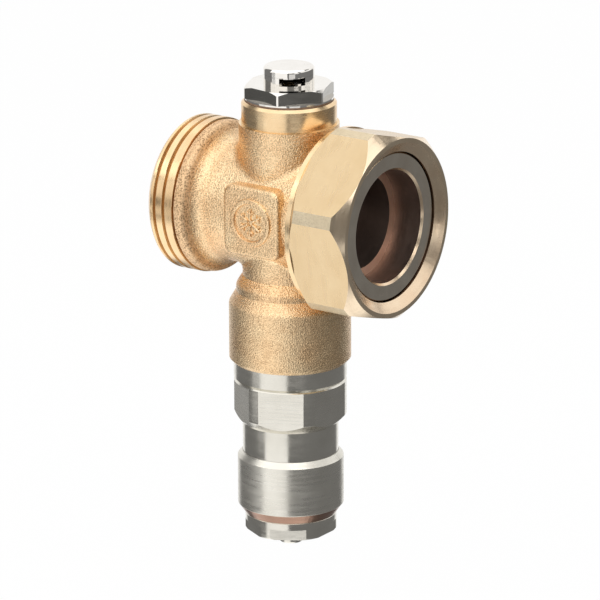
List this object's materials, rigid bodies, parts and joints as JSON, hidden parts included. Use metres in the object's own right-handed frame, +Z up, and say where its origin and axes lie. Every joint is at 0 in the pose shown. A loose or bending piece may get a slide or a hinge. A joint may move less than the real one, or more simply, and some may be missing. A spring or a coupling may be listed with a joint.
{
  "type": "anti-freeze valve",
  "caption": "Brass anti-freeze valve with a union nut, a male-thread end, a vacuum breaker on top and a nickel-plated drain cartridge that opens when the water nears freezing.",
  "frame": {"origin": "crossing of the flow axis and the upright axis through the vacuum breaker and the drain cartridge", "axes": "+X along the flow axis towards the union nut, +Z up towards the vacuum breaker, -Y out of the raised pad"},
  "size_m": [0.053, 0.0416, 0.105],
  "materials": {
    "cast_brass": "sand-blasted, with turned ends",
    "turned_brass": "satin turned",
    "nickel": "nickel plated, satin",
    "seal_rubber": "matt",
    "spring_steel": "drawn",
    "capsule_copper": "drawn"
  },
  "bodies": {
    "valve": {"valve_body": "cast_brass", "cartridge_housing": "nickel", "housing_o_ring": "seal_rubber", "sleeve_o_ring": "seal_rubber", "drain_sleeve": "nickel", "drain_outlet_nut": "nickel", "wax_capsule": "capsule_copper", "capsule_carrier": "turned_brass", "breaker_gasket": "seal_rubber", "breaker_body": "nickel", "breaker_cap": "nickel", "return_spring": "spring_steel", "breaker_spring": "spring_steel"},
    "ring": {"nut_retaining_ring": "spring_steel"},
    "nut": {"union_nut": "turned_brass"},
    "shutter": {"drain_shutter": "nickel", "shutter_seal": "seal_rubber", "capsule_piston": "spring_steel"},
    "poppet": {"breaker_poppet": "turned_brass", "breaker_seal": "seal_rubber", "breaker_retainer": "spring_steel"}
  },
  "joints": [
    {"name": "nut_slide", "type": "slide", "parent": "valve", "child": "ring", "axis": [1, 0, 0], "range_m": [0, 0.0058]},
    {"name": "nut_spin", "type": "hinge", "parent": "ring", "child": "nut", "pos_m": [0.0153, 0, 0], "axis": [1, 0, 0], "continuous": true},
    {"name": "drain_lift", "type": "slide", "parent": "valve", "child": "shutter", "axis": [0, 0, 1], "range_m": [0, 0.0025], "deforming": ["return_spring"]},
    {"name": "air_inlet", "type": "slide", "parent": "valve", "child": "poppet", "axis": [0, 0, 1], "range_m": [-0.002, 0], "stiffness_N_per_m": 150, "springref_m": 0.002, "deforming": ["breaker_spring"]}
  ]
}
